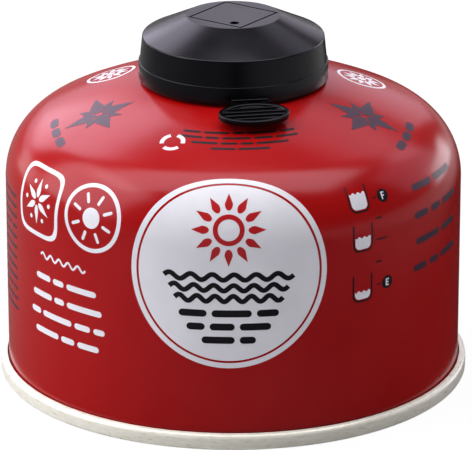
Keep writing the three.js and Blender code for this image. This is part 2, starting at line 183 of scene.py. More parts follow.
# Where each print is drawn: degrees round the can from its front, and the run up its profile
BADGE_PLACE = (-1.1, 34.2)
SUN_PLACE = (-37.2, 41.8)
CRYSTAL_PLACE = (-57.4, 41.2)
LEFT_ROWS_PLACE = (-46.6, 26.9)
LEFT_WAVE_PLACE = (-47.2, 31.2)
RIGHT_ROWS_PLACE = (61.8, 44.9)
SHOULDER_ROWS_PLACE = (2.6, 65.2)
EDGE_ROWS_PLACE = (-79.5, 39)
BACK_ROWS_PLACE = (178, 38)
TICKS_PLACE = (37.1, 37.7)
BROKEN_RING_PLACE = (-22.6, 61.4)
VESSEL_ANGLE = 33.2
MARK_ANGLE = 40.8
ROSE_RUN = 61.2
ROSETTE_RUN = 65.4

# Sizes of the badge
BADGE_RADIUS = 18.4
BADGE_BORDER = 1
BADGE_PANEL_RADIUS = 16.95

# Steps round a turned piece, along its small roundings and along its long arcs, and across
# a rounded edge
ROUND_STEPS = 256
EDGE_STEPS = 6
ARC_STEPS = 40
BEVEL_STEPS = 3

# Angles past which an edge stays crisp, how near points merge, in metres, and how near a cut
# a print's points count as on it, in millimetres
SHARP_ANGLE = radians(32)
INK_SHARP_ANGLE = radians(40)
MERGE_DISTANCE = 1e-7
CUT_TOLERANCE = 1e-5


# The photo's view: a long lens, twenty degrees down on the front
CAMERA_LENS = 322.2
CAMERA_SENSOR = 36
CAMERA_PLACE = (0.0005, -0.763, 0.3058)
CAMERA_TILT = radians(69.99)


def make_camera():
    """The camera that takes the photo's view"""
    data = bpy.data.cameras.new("camera")
    data.lens = CAMERA_LENS
    data.sensor_width = CAMERA_SENSOR
    camera = bpy.data.objects.new("camera", data)
    camera.location = CAMERA_PLACE
    camera.rotation_euler = (CAMERA_TILT, 0, 0)
    bpy.context.scene.collection.objects.link(camera)
    bpy.context.scene.camera = camera


make_camera()

# Places that follow from the sizes
shoulder_r = BODY_RADIUS - SHOULDER_RADIUS
crown_r = shoulder_r + (SHOULDER_RADIUS - CROWN_RADIUS) * cos(SHOULDER_ANGLE)
crown_z = SHOULDER_START + (SHOULDER_RADIUS - CROWN_RADIUS) * sin(SHOULDER_ANGLE)
shoulder_run = SHOULDER_START + SHOULDER_RADIUS * SHOULDER_ANGLE


def crown_height(radius):
    """Height of the can's crown at a radius inside the shoulder"""
    return crown_z + sqrt(CROWN_RADIUS**2 - (radius - crown_r) ** 2)


curl_radius = NECK_BORE_RADIUS + CURL_WIDTH
curl_top = crown_height(curl_radius) + CURL_HEIGHT
rim_top = curl_top + CUP_GASKET_THICKNESS + CUP_WALL
rim_radius = curl_radius + FIT_GAP + CUP_WALL
cup_outer = NECK_BORE_RADIUS - FIT_GAP
cup_inner = cup_outer - CUP_WALL
cup_floor = rim_top - CUP_DEPTH
boss_top = cup_floor + BOSS_HEIGHT
boss_inner = BOSS_RADIUS - CUP_WALL
band_inner = rim_radius + CAP_RIM_CLEARANCE
band_radius = band_inner + CAP_WALL
band_bottom = crown_height(band_radius) + CAP_SHOULDER_GAP
ledge_z = band_bottom + CAP_BAND_HEIGHT
skirt_foot = band_radius - CAP_LEDGE_WIDTH
skirt_head = skirt_foot - CAP_DRAFT
disc_underside = boss_top + CAP_BOSS_CLEARANCE
disc_top = disc_underside + CAP_TOP_WALL
skirt_top = disc_top - CAP_CONE_RISE


def arc(centre_r, centre_z, radius, start, end, steps=EDGE_STEPS):
    """Points of a section along an arc, its angles in radians, both ends included"""
    angles = [start + (end - start) * i / steps for i in range(steps + 1)]
    return [(centre_r + radius * cos(a), centre_z + radius * sin(a)) for a in angles]


def corner(centre_r, centre_z, radius, start, end):
    """Points of a rounded corner, its angles in quarter turns"""
    return arc(centre_r, centre_z, radius, start * pi / 2, end * pi / 2)


def section_loop(bm, points):
    """A closed line through a section's points, in the XZ plane"""
    verts = [bm.verts.new((r * MM, 0, z * MM)) for r, z in points]
    edges = [bm.edges.new(pair) for pair in zip(verts, verts[1:] + verts[:1])]
    return verts, edges


def turned(points):
    """A solid of revolution about Z from a closed section of radii and heights"""
    bm = bmesh.new()
    verts, edges = section_loop(bm, points)
    bmesh.ops.spin(
        bm, geom=verts + edges, cent=(0, 0, 0), axis=(0, 0, 1), dvec=(0, 0, 0), angle=2 * pi,
        steps=ROUND_STEPS, space=Matrix(), use_merge=True, use_normal_flip=False,
        use_duplicate=False,
    )
    bmesh.ops.remove_doubles(bm, verts=bm.verts[:], dist=MERGE_DISTANCE)
    lines = [e for e in bm.edges if not e.link_faces]
    bmesh.ops.delete(bm, geom=lines, context="EDGES")
    bmesh.ops.recalc_face_normals(bm, faces=bm.faces[:])
    return bm


def shade(bm, sharp_angle):
    """Smooth faces with crisp edges where they meet at more than an angle"""
    for face in bm.faces:
        face.smooth = True
    for edge in bm.edges:
        edge.smooth = edge.is_manifold and edge.calc_face_angle(0) < sharp_angle


def make_object(bm, name, sharp_angle=SHARP_ANGLE):
    """An object at the origin from a finished mesh"""
    shade(bm, sharp_angle)
    mesh = bpy.data.meshes.new(name)
    bm.to_mesh(mesh)
    bm.free()
    piece = bpy.data.objects.new(name, mesh)
    bpy.context.scene.collection.objects.link(piece)
    return piece


def joined(piece, tools, operation):
    """A piece with other meshes added to it or cut out of it"""
    helpers = [make_object(bm, "tool") for bm in tools]
    for helper in helpers:
        modifier = piece.modifiers.new("tool", "BOOLEAN")
        modifier.operation = operation
        modifier.solver = "EXACT"
        modifier.object = helper
    evaluated = piece.evaluated_get(bpy.context.evaluated_depsgraph_get())
    bm = bmesh.new()
    bm.from_mesh(evaluated.to_mesh())
    name = piece.name
    for used in [piece, *helpers]:
        bpy.data.meshes.remove(used.data)
    bmesh.ops.dissolve_degenerate(bm, dist=MERGE_DISTANCE, edges=bm.edges[:])
    return make_object(bm, name)


# Materials

# The shared group: how fine its two noises are, how much of the patches' range is used and
# how deep its relief is, in metres
PATCH_DETAIL = 3
PATCH_RANGE = (0.3, 0.7)
GRAIN_DETAIL = 2
RELIEF_DEPTH = 0.0001


def surface_group():
    """Colour, roughness and relief that vary a little over a surface"""
    group = bpy.data.node_groups.new("Surface Variation", "ShaderNodeTree")
    sockets = [
        ("Vector", "NodeSocketVector"), ("Patch Scale", "NodeSocketFloat"),
        ("Grain Scale", "NodeSocketFloat"), ("Deep", "NodeSocketColor"),
        ("Bright", "NodeSocketColor"), ("Sleek", "NodeSocketFloat"),
        ("Dull", "NodeSocketFloat"), ("Relief", "NodeSocketFloat"),
    ]
    for name, kind in sockets:
        group.interface.new_socket(name=name, in_out="INPUT", socket_type=kind)
    results = [
        ("Color", "NodeSocketColor"), ("Roughness", "NodeSocketFloat"),
        ("Normal", "NodeSocketVector"),
    ]
    for name, kind in results:
        group.interface.new_socket(name=name, in_out="OUTPUT", socket_type=kind)
    nodes, links = group.nodes, group.links
    given = nodes.new("NodeGroupInput")
    result = nodes.new("NodeGroupOutput")
    patches = nodes.new("ShaderNodeTexNoise")
    patches.inputs["Detail"].default_value = PATCH_DETAIL
    spread = nodes.new("ShaderNodeMapRange")
    spread.inputs["From Min"].default_value, spread.inputs["From Max"].default_value = PATCH_RANGE
    tint = nodes.new("ShaderNodeMix")
    tint.data_type = "RGBA"
    gloss = nodes.new("ShaderNodeMix")
    grain = nodes.new("ShaderNodeTexNoise")
    grain.inputs["Detail"].default_value = GRAIN_DETAIL
    bump = nodes.new("ShaderNodeBump")
    bump.inputs["Distance"].default_value = RELIEF_DEPTH
    links.new(given.outputs["Vector"], patches.inputs["Vector"])
    links.new(given.outputs["Patch Scale"], patches.inputs["Scale"])
    links.new(patches.outputs["Fac"], spread.inputs["Value"])
    links.new(spread.outputs["Result"], tint.inputs["Factor"])
    links.new(given.outputs["Deep"], tint.inputs["A"])
    links.new(given.outputs["Bright"], tint.inputs["B"])
    links.new(spread.outputs["Result"], gloss.inputs["Factor"])
    links.new(given.outputs["Sleek"], gloss.inputs["A"])
    links.new(given.outputs["Dull"], gloss.inputs["B"])
    links.new(given.outputs["Vector"], grain.inputs["Vector"])
    links.new(given.outputs["Grain Scale"], grain.inputs["Scale"])
    links.new(grain.outputs["Fac"], bump.inputs["Height"])
    links.new(given.outputs["Relief"], bump.inputs["Strength"])
    links.new(tint.outputs["Result"], result.inputs["Color"])
    links.new(gloss.outputs["Result"], result.inputs["Roughness"])
    links.new(bump.outputs["Normal"], result.inputs["Normal"])
    return group


surface_variation = surface_group()


def linear(red, green, blue):
    """A colour given as it looks on screen, from 0 to 255, as Blender's linear colour"""
    shown = [value / 255 for value in (red, green, blue)]
    return (*(c / 12.92 if c < 0.04045 else ((c + 0.055) / 1.055) ** 2.4 for c in shown), 1)


def finish(
    name, deep, bright, gloss, patch_scale, grain_scale, relief, stretch=(1, 1, 1), **constants
):
    """A material that varies by the shared group; constants go straight on its shader"""
    material = bpy.data.materials.new(name)
    material.use_nodes = True
    nodes, links = material.node_tree.nodes, material.node_tree.links
    shader = nodes["Principled BSDF"]
    for socket, value in constants.items():
        shader.inputs[socket.replace("_", " ")].default_value = value
    place = nodes.new("ShaderNodeTexCoord")
    mapping = nodes.new("ShaderNodeMapping")
    mapping.inputs["Scale"].default_value = stretch
    varied = nodes.new("ShaderNodeGroup")
    varied.node_tree = surface_variation
    values = {
        "Patch Scale": patch_scale, "Grain Scale": grain_scale, "Deep": linear(*deep),
        "Bright": linear(*bright), "Sleek": gloss[0], "Dull": gloss[1], "Relief": relief,
    }
    for socket, value in values.items():
        varied.inputs[socket].default_value = value
    links.new(place.outputs["Object"], mapping.inputs["Vector"])
    links.new(mapping.outputs["Vector"], varied.inputs["Vector"])
    links.new(varied.outputs["Color"], shader.inputs["Base Color"])
    links.new(varied.outputs["Roughness"], shader.inputs["Roughness"])
    links.new(varied.outputs["Normal"], shader.inputs["Normal"])
    return material


LACQUER = {"Specular_IOR_Level": 0.3, "Specular_Tint": (0.96, 0.88, 1, 1)}
INK = {"gloss": (0.3, 0.36), "patch_scale": 120, "grain_scale": 900, "relief": 0.04, **LACQUER}
red_paint = finish(
    "red paint", deep=(156, 8, 8), bright=(163, 11, 11), gloss=(0.19, 0.25),
    patch_scale=60, grain_scale=900, relief=0.03, **LACQUER,
)
white_ink = finish("white ink", deep=(223, 223, 229), bright=(231, 231, 236), **INK)
black_ink = finish("black ink", deep=(20, 18, 22), bright=(27, 24, 29), **INK)
red_ink = finish("red ink", deep=(172, 24, 28), bright=(182, 30, 33), **INK)
grey_ink = finish("grey ink", deep=(58, 34, 50), bright=(68, 42, 58), **INK)
tinplate = finish(
    "tinplate", deep=(236, 233, 216), bright=(253, 251, 240), gloss=(0.26, 0.44),
    patch_scale=560, grain_scale=1500, relief=0.12, stretch=(1, 1, 6), Metallic=0.16,
)
bright_tinplate = finish(
    "bright tinplate", deep=(205, 204, 198), bright=(228, 227, 221), gloss=(0.24, 0.34),
    patch_scale=90, grain_scale=700, relief=0.1, stretch=(1, 1, 24), Metallic=0.85,
)
cap_plastic = finish(
    "black moulded plastic", deep=(4, 4, 6), bright=(7, 7, 10), gloss=(0.2, 0.26),
    patch_scale=110, grain_scale=2400, relief=0.08,
    Specular_IOR_Level=0.26, Specular_Tint=(0.92, 0.9, 1, 1),
)
seal_rubber = finish(
    "seal rubber", deep=(24, 24, 26), bright=(34, 34, 36), gloss=(0.7, 0.85),
    patch_scale=200, grain_scale=3000, relief=0.3,
)
valve_plastic = finish(
    "white moulded plastic", deep=(212, 211, 204), bright=(224, 223, 217), gloss=(0.42, 0.5),
    patch_scale=200, grain_scale=2500, relief=0.1,
)
spring_steel = finish(
    "spring steel", deep=(170, 172, 174), bright=(196, 198, 200), gloss=(0.22, 0.34),
    patch_scale=300, grain_scale=1800, relief=0.1, Metallic=1.0,
)


# The can, its end and its valve


def end_panel(offset):
    """The end panel's section at a distance above its underside, from the wall to the axis"""
    corner_r = BODY_RADIUS - BODY_WALL - FIT_GAP - END_WALL - END_CORNER_RADIUS
    reach = (corner_r**2 + END_DOME_RISE**2) / (2 * END_DOME_RISE)
    turn = acos(corner_r / reach)
    centre_z = END_CORNER_HEIGHT + END_DOME_RISE - reach
    bend = arc(corner_r, END_CORNER_HEIGHT, END_CORNER_RADIUS + offset, 0, turn)
    dome = arc(0, centre_z, reach + END_CORNER_RADIUS + offset, turn, pi / 2, ARC_STEPS)
    return [*bend, *dome[1:-1], (0, dome[-1][1])]


def make_can():
    """The painted can: skirt, wall, shoulder, crown and curl, with the valve's bore"""
    crown_end = acos((curl_radius - crown_r) / CROWN_RADIUS)
    return turned([
        *reversed(end_panel(END_WALL + FIT_GAP)),
        (BODY_RADIUS - BODY_WALL, SEAM_FOOT),
        (BODY_RADIUS, SEAM_FOOT),
        *arc(shoulder_r, SHOULDER_START, SHOULDER_RADIUS, 0, SHOULDER_ANGLE, ARC_STEPS),
        *arc(crown_r, crown_z, CROWN_RADIUS, SHOULDER_ANGLE, crown_end, ARC_STEPS)[1:],
        *corner(curl_radius - CURL_ROUNDING, curl_top - CURL_ROUNDING, CURL_ROUNDING, 0, 1),
        *corner(NECK_BORE_RADIUS + CURL_ROUNDING, curl_top - CURL_ROUNDING, CURL_ROUNDING, 1, 2),
        (NECK_BORE_RADIUS, BORE_FLOOR),
        (0, BORE_FLOOR),
    ])


def make_end():
    """The tinplate end: folded seam, inner wall and domed panel"""
    seam_radius = BODY_RADIUS + SEAM_STANDOUT
    wall_outer = BODY_RADIUS - BODY_WALL - FIT_GAP
    foot = wall_outer - END_WALL + SEAM_ROUNDING
    rim = seam_radius - SEAM_ROUNDING
    top = SEAM_TOP_ROUNDING
    return turned([
        *reversed(end_panel(0)),
        *corner(foot, SEAM_ROUNDING, SEAM_ROUNDING, 2, 3),
        *corner(rim, SEAM_ROUNDING, SEAM_ROUNDING, 3, 4),
        *corner(seam_radius - top, SEAM_HEIGHT - top, top, 0, 1),
        (BODY_RADIUS + FIT_GAP, SEAM_HEIGHT),
        (BODY_RADIUS + FIT_GAP, SEAM_FOOT),
        (wall_outer, SEAM_FOOT),
        *end_panel(END_WALL),
    ])


def make_cup():
    """The valve's pressed cup, with the boss that carries the thread"""
    underside = rim_top - CUP_WALL
    inner_rounding = CUP_ROUNDING - CUP_WALL
    crimp_z = cup_floor + CRIMP_HEIGHT
    foot_z = cup_floor + BOSS_FOOT_RADIUS
    foot_r = BOSS_RADIUS + BOSS_FOOT_RADIUS
    root = BOSS_RADIUS - THREAD_DEPTH
    bend_r, bend_z = cup_inner - CUP_ROUNDING, cup_floor + CUP_ROUNDING
    return turned([
        (rim_radius - CUP_WALL, rim_top - RIM_SKIRT),
        (rim_radius, rim_top - RIM_SKIRT),
        *corner(rim_radius - CUP_ROUNDING, rim_top - CUP_ROUNDING, CUP_ROUNDING, 0, 1),
        *corner(cup_inner + CUP_ROUNDING, rim_top - CUP_ROUNDING, CUP_ROUNDING, 1, 2),
        *corner(bend_r, bend_z, CUP_ROUNDING, 0, -1),
        *corner(foot_r, foot_z, BOSS_FOOT_RADIUS, 3, 2),
        (BOSS_RADIUS, crimp_z - CRIMP_WIDTH),
        (BOSS_RADIUS - CRIMP_DEPTH, crimp_z),
        (root, crimp_z + CRIMP_WIDTH),
        (root, boss_top - BOSS_CHAMFER),
        (root - BOSS_CHAMFER, boss_top),
        (BOSS_HOLE_RADIUS, boss_top),
        (BOSS_HOLE_RADIUS, boss_top - CUP_WALL),
        (boss_inner, boss_top - CUP_WALL),
        (boss_inner, crimp_z + CRIMP_WIDTH),
        (boss_inner - CRIMP_DEPTH, crimp_z),
        (boss_inner, crimp_z - CRIMP_WIDTH),
        *corner(foot_r, foot_z, BOSS_FOOT_RADIUS + CUP_WALL, 2, 3),
        *corner(bend_r, bend_z, CUP_ROUNDING + CUP_WALL, -1, 0),
        *corner(cup_outer + inner_rounding, underside - inner_rounding, inner_rounding, 2, 1),
        *corner(rim_radius - CUP_ROUNDING, underside - inner_rounding, inner_rounding, 1, 0),
    ])


def make_thread():
    """The boss's thread: a ridge that winds up round it"""
    bm = bmesh.new()
    start = cup_floor + CRIMP_HEIGHT + CRIMP_WIDTH + THREAD_PITCH
    inner = BOSS_RADIUS - THREAD_DEPTH - THREAD_ROOT
    foot = THREAD_PITCH * THREAD_FOOT
    crest = foot * THREAD_CREST
    points = [
        (inner, start - foot), (BOSS_RADIUS, start - crest),
        (BOSS_RADIUS, start + crest), (inner, start + foot),
    ]
    verts, edges = section_loop(bm, points)
    first = bm.faces.new(verts)
    steps = THREAD_TURN_STEPS
    bmesh.ops.spin(
        bm, geom=[first], cent=(0, 0, 0), axis=(0, 0, 1), dvec=(0, 0, THREAD_PITCH * MM / steps),
        angle=2 * pi * THREAD_TURNS, steps=steps * THREAD_TURNS, space=Matrix(),
        use_merge=False, use_normal_flip=False, use_duplicate=False,
    )
    bmesh.ops.recalc_face_normals(bm, faces=bm.faces[:])
    return bm


def make_spring():
    """The coil spring under the stem"""
    bm = bmesh.new()
    middle = Matrix.Translation((SPRING_COIL_RADIUS * MM, 0, SPRING_BOTTOM * MM))
    bmesh.ops.create_circle(
        bm, cap_ends=True, cap_tris=False, segments=SPRING_WIRE_FACETS,
        radius=SPRING_WIRE_RADIUS * MM, matrix=middle @ Matrix.Rotation(pi / 2, 4, "X"),
        calc_uvs=False,
    )
    steps = SPRING_TURN_STEPS * SPRING_TURNS
    rise = (SPRING_TOP - SPRING_BOTTOM) * MM / steps
    bmesh.ops.spin(
        bm, geom=bm.faces[:], cent=(0, 0, 0), axis=(0, 0, 1), dvec=(0, 0, rise),
        angle=2 * pi * SPRING_TURNS, steps=steps, space=Matrix(),
        use_merge=False, use_normal_flip=False, use_duplicate=False,
    )
    bmesh.ops.recalc_face_normals(bm, faces=bm.faces[:])
    return bm


# The cap


def cap_shell():
    """The cap's turned shell: disc, cone, skirt, ledge and band"""
    cone_normal = atan2(skirt_head - CAP_DISC_RADIUS, CAP_CONE_RISE)
    bead = rim_radius + CAP_BEAD_CLEARANCE
    bead_top = band_bottom + CAP_BEAD_HEIGHT
    foot = CAP_FOOT_ROUNDING
    lip = CAP_LEDGE_ROUNDING
    edge = CAP_EDGE_ROUNDING
    disc = CAP_DISC_ROUNDING
    return turned([
        (0, disc_underside),
        (CAP_DISC_RADIUS - CAP_WALL / 2, disc_underside),
        (skirt_head - CAP_WALL, skirt_top - edge - CAP_WALL / 2),
        (skirt_foot - CAP_WALL, ledge_z),
        (band_inner, ledge_z - CAP_WALL / 2),
        (band_inner, bead_top),
        (bead, bead_top - (band_inner - bead)),
        (bead, band_bottom),
        *corner(band_radius - foot, band_bottom + foot, foot, -1, 0),
        *corner(band_radius - lip, ledge_z - lip, lip, 0, 1),
        (skirt_foot, ledge_z),
        *arc(skirt_head - edge, skirt_top - edge, edge, 0, cone_normal),
        *arc(CAP_DISC_RADIUS - disc / 2, disc_top - disc, disc, cone_normal, pi / 2),
        (0, disc_top),
    ])


def box(low, high):
    """A block between two corners"""
    bm = bmesh.new()
    bmesh.ops.create_cube(bm, size=1, matrix=Matrix())
    size = [(b - a) * MM for a, b in zip(low, high)]
    middle = [(a + b) / 2 * MM for a, b in zip(low, high)]
    bmesh.ops.scale(bm, vec=size, verts=bm.verts[:])
    bmesh.ops.translate(bm, vec=middle, verts=bm.verts[:])
    return bm


def softened(bm, radius, edges=None):
    """A mesh with its edges rounded, all of them or only the given ones"""
    bmesh.ops.bevel(
        bm, geom=edges or bm.edges[:], offset=radius * MM, offset_type="OFFSET",
        segments=BEVEL_STEPS, profile=0.5, affect="EDGES", material=-1, clamp_overlap=True,
    )
    return bm


def turned_about_z(bm, angle):
    """A mesh turned about the can's axis"""
    bmesh.ops.rotate(bm, cent=(0, 0, 0), matrix=Matrix.Rotation(angle, 3, "Z"), verts=bm.verts[:])
    return bm


def cap_ribs():
    """The ribs inside the cap that stand on the cup's rim"""
    inner = rim_radius - CUP_ROUNDING - CAP_RIB_REACH
    outer = skirt_head - CAP_WALL / 2
    top = rim_top + CAP_RIB_EDGE
    points = [(inner, rim_top), (outer, rim_top), (outer, top + CAP_RIB_SLOPE), (inner, top)]
    ribs = []
    for i in range(CAP_RIB_COUNT):
        bm = bmesh.new()
        verts, edges = section_loop(bm, points)
        bmesh.ops.translate(bm, vec=(0, -CAP_RIB_THICKNESS / 2 * MM, 0), verts=verts)
        face = bm.faces.new(verts)
        grown = bmesh.ops.extrude_face_region(bm, geom=[face], use_keep_orig=True)
        moved = [v for v in grown["geom"] if isinstance(v, bmesh.types.BMVert)]
        bmesh.ops.translate(bm, vec=(0, CAP_RIB_THICKNESS * MM, 0), verts=moved)
        bmesh.ops.recalc_face_normals(bm, faces=bm.faces[:])
        ribs.append(turned_about_z(bm, 2 * pi * (i + 0.5) / CAP_RIB_COUNT + CAP_TURN))
    return ribs


def square_line():
    """The cutter for the thin square line in the disc"""
    half = SQUARE_SIDE / 2
    bm = box((-half, -half, disc_top - SQUARE_DEPTH), (half, half, disc_top + 1))
    ends = [f for f in bm.faces if abs(f.normal.z) > 0.5]
    bmesh.ops.inset_region(
        bm, faces=ends, thickness=SQUARE_LINE * MM, depth=0,
        use_even_offset=True, use_boundary=True,
    )
    flat = [f for f in bm.faces if abs(f.normal.z) > 0.5]
    inner = [f for f in flat if hypot(*f.calc_center_median().xy) < 1e-6]
    bmesh.ops.bridge_loops(bm, edges=[e for f in inner for e in f.edges])
    bmesh.ops.delete(bm, geom=inner, context="FACES_ONLY")
    bmesh.ops.recalc_face_normals(bm, faces=bm.faces[:])
    return turned_about_z(bm, pi / 4 + CAP_TURN)


def gate_dimple():
    """The cutter for the moulding gate's dimple"""
    bm = bmesh.new()
    bmesh.ops.create_cone(
        bm, cap_ends=True, cap_tris=False, segments=GATE_FACETS,
        radius1=GATE_RADIUS * GATE_FLOOR_SHARE * MM, radius2=GATE_RADIUS * MM,
        depth=GATE_DEPTH * 2 * MM, matrix=Matrix(), calc_uvs=False,
    )
    bmesh.ops.translate(bm, vec=(0, -GATE_OFFSET * MM, disc_top * MM), verts=bm.verts[:])
    return turned_about_z(bm, GATE_TURN)


def paddle():
    """The tab's oval paddle about its own centre, with its lip; its grip bars come from
    paddle_grips
    """
    bm = bmesh.new()
    bmesh.ops.create_circle(
        bm, cap_ends=True, cap_tris=False, segments=TAB_PADDLE_FACETS, radius=MM,
        matrix=Matrix(), calc_uvs=False,
    )
    half_width = TAB_PADDLE_WIDTH / 2
    half_length = TAB_PADDLE_LENGTH / 2
    bmesh.ops.scale(bm, vec=(half_width, half_length, 1), verts=bm.verts[:])
    grown = bmesh.ops.extrude_face_region(bm, geom=bm.faces[:], use_keep_orig=True)
    moved = [v for v in grown["geom"] if isinstance(v, bmesh.types.BMVert)]
    height = TAB_FLOOR + TAB_LIP_HEIGHT
    bmesh.ops.translate(bm, vec=(0, 0, height * MM), verts=moved)
    bmesh.ops.recalc_face_normals(bm, faces=bm.faces[:])
    top = [f for f in bm.faces if f.normal.z > 0.5]
    for thickness, depth in [(TAB_LIP_WIDTH, 0), (TAB_LIP_SLOPE, -TAB_LIP_HEIGHT)]:
        bmesh.ops.inset_region(
            bm, faces=top, thickness=thickness * MM, depth=depth * MM,
            use_even_offset=True, use_boundary=True,
        )
    rims = [e for e in bm.edges if e.calc_face_angle(0) > TAB_RIM_ANGLE]
    return softened(bm, TAB_RIM_ROUNDING, rims)


def paddle_grips():
    """The bars across the paddle's floor"""
    bars = []
    half_length = TAB_PADDLE_LENGTH / 2
    for i in range(TAB_GRIP_COUNT):
        y = (i - (TAB_GRIP_COUNT - 1) / 2) * TAB_GRIP_PITCH
        reach = TAB_PADDLE_WIDTH / 2 * sqrt(1 - (y / half_length) ** 2) - TAB_LIP_WIDTH / 2
        low = (-reach, y - TAB_GRIP_WIDTH / 2, TAB_FLOOR / 2)
        high = (reach, y + TAB_GRIP_WIDTH / 2, TAB_FLOOR + TAB_GRIP_HEIGHT)
        bars.append(softened(box(low, high), TAB_GRIP_ROUNDING))
    return bars


def tab_parts():
    """The pull tab: block on the band, hinge webs and tilted paddle"""
    start = band_radius - CAP_WALL / 2
    end = band_radius + TAB_BLOCK_DEPTH
    hinge_end = end + TAB_HINGE_LENGTH + TAB_ROOT
    half = TAB_BLOCK_WIDTH / 2
    z = band_bottom
    block = box((-half, -end, z), (half, -start, z + TAB_BLOCK_HEIGHT))
    plate = box((-half, -hinge_end, z), (half, -start, z + TAB_HINGE_THICKNESS))
    parts = [softened(block, TAB_BLOCK_ROUNDING), softened(plate, TAB_HINGE_ROUNDING)]
    pitch = TAB_BLOCK_WIDTH / TAB_HINGE_COUNT
    for i in range(TAB_HINGE_COUNT):
        left = -half + (i + 0.25) * pitch
        top = z + TAB_HINGE_THICKNESS + TAB_LIP_HEIGHT
        web = box((left, -hinge_end, z), (left + pitch / 2, -start, top))
        parts.append(softened(web, TAB_HINGE_ROUNDING))
    reach = TAB_PADDLE_LENGTH / 2 * cos(TAB_TILT)
    drop = TAB_PADDLE_LENGTH / 2 * sin(TAB_TILT)
    forward = end + TAB_HINGE_LENGTH + reach - TAB_ROOT
    place = Matrix.Translation((0, -forward * MM, (z - drop) * MM))
    place = place @ Matrix.Rotation(TAB_TILT, 4, "X")
    for bm in [paddle(), *paddle_grips()]:
        bmesh.ops.transform(bm, matrix=place, space=Matrix(), verts=bm.verts[:])
        parts.append(bm)
    return [turned_about_z(bm, CAP_TURN) for bm in parts]


def make_cap():
    """The moulded cap with its pull tab in one piece"""
    piece = make_object(cap_shell(), "moulded_cap")
    piece = joined(piece, [*cap_ribs(), *tab_parts()], "UNION")
    return joined(piece, [square_line(), gate_dimple()], "DIFFERENCE")


def dress(piece, material, body, *replaced, slot=None):
    """A piece's material, the body it rides on and the nodes it stands for"""
    piece.data.materials.clear()
    piece.data.materials.append(material)
    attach(piece, body)
    if replaced:
        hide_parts(*replaced)


dress(make_object(make_can(), "painted_can"), red_paint, "can", "can_body", slot="red_paint")
dress(make_object(make_end(), "seamed_end"), tinplate, "can", "bottom_end", slot="tinplate")
dress(make_object(make_cup(), "pressed_cup"), bright_tinplate, "can", "valve_cup", slot="tinplate")
dress(make_object(make_thread(), "boss_thread"), bright_tinplate, "can", slot="tinplate")
dress(make_cap(), cap_plastic, "cap", "cap", slot="cap_plastic")
coil_spring = make_object(make_spring(), "coil_spring")
dress(coil_spring, spring_steel, "can", "valve_spring", slot="spring_steel")
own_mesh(coil_spring)

kept_finishes = {
    "cup_gasket": seal_rubber, "stem_seal": seal_rubber, "valve_housing": valve_plastic,
    "valve_stem": valve_plastic,
}
for node, material in kept_finishes.items():
    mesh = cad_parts[node].data
    mesh.materials.clear()
    mesh.materials.append(material)


# The print: flat shapes, each an outline and its holes, wrapped on the can


def can_surface(run):
    """Radius, height and outward direction of the can's skin at a length up its profile"""
    if run < SHOULDER_START:
        return BODY_RADIUS, run, 0
    if run < shoulder_run:
        lean = (run - SHOULDER_START) / SHOULDER_RADIUS
        radius = shoulder_r + SHOULDER_RADIUS * cos(lean)
        return radius, SHOULDER_START + SHOULDER_RADIUS * sin(lean), lean
    lean = SHOULDER_ANGLE + (run - shoulder_run) / CROWN_RADIUS
    return crown_r + CROWN_RADIUS * cos(lean), crown_z + CROWN_RADIUS * sin(lean), lean


def slice_up(bm, axis, step):
    """Cuts a flat shape into strips, so that it can follow the can"""
    places = [v.co[axis] for v in bm.verts]
    normal = [0, 0, 0]
    normal[axis] = 1
    for i in range(floor(min(places) / step) + 1, ceil(max(places) / step)):
        spot = [0, 0, 0]
        spot[axis] = i * step
        bmesh.ops.bisect_plane(
            bm, geom=bm.verts[:] + bm.edges[:] + bm.faces[:], dist=CUT_TOLERANCE, plane_co=spot,
            plane_no=normal, use_snap_center=False, clear_outer=False, clear_inner=False,
        )


def printed(name, shapes, ink, place, proud=FIRST_INK):
    """A print of flat shapes in millimetres about a place on the can"""
    angle, run = place
    bm = bmesh.new()
    for loops in shapes:
        edges = []
        for loop in loops:
            verts = [bm.verts.new((x, y, 0)) for x, y in loop]
            edges += [bm.edges.new(pair) for pair in zip(verts, verts[1:] + verts[:1])]
        bmesh.ops.triangle_fill(
            bm, use_beauty=True, use_dissolve=False, edges=edges, normal=(0, 0, 1)
        )
    bmesh.ops.solidify(bm, geom=bm.faces[:], thickness=INK_THICKNESS)
    slice_up(bm, 0, INK_TURN_STEP)
    if run + max(v.co.y for v in bm.verts) > SHOULDER_START:
        slice_up(bm, 1, INK_RUN_STEP)
    for vert in bm.verts:
        x, y, depth = vert.co
        height = proud if abs(depth) < INK_THICKNESS / 2 else proud - INK_THICKNESS
        radius, z, lean = can_surface(run + y)
        turn = radians(angle) + x / radius
        radius += height * cos(lean)
        z += height * sin(lean)
        vert.co = (radius * sin(turn) * MM, -radius * cos(turn) * MM, z * MM)
    bmesh.ops.recalc_face_normals(bm, faces=bm.faces[:])
    dress(make_object(bm, name, INK_SHARP_ANGLE), ink, "can")


def circle(x, y, radius, count=CIRCLE_FACETS):
    """A round outline"""
    turns = [2 * pi * i / count for i in range(count)]
    return [(x + radius * cos(a), y + radius * sin(a)) for a in turns]


def ring(outer, inner, count=CIRCLE_FACETS):
    """A round band about the origin"""
    return [circle(0, 0, outer, count), circle(0, 0, inner, count)]


def rounded_bar(x, y, length, height):
    """A bar with round ends, from its left end"""
    half = height / 2
    turns = [pi * (i / 6 - 0.5) for i in range(7)]
    right = [(x + length - half + half * cos(a), y + half * sin(a)) for a in turns]
    left = [(x + half - half * cos(a), y - half * sin(a)) for a in turns]
    return right + left


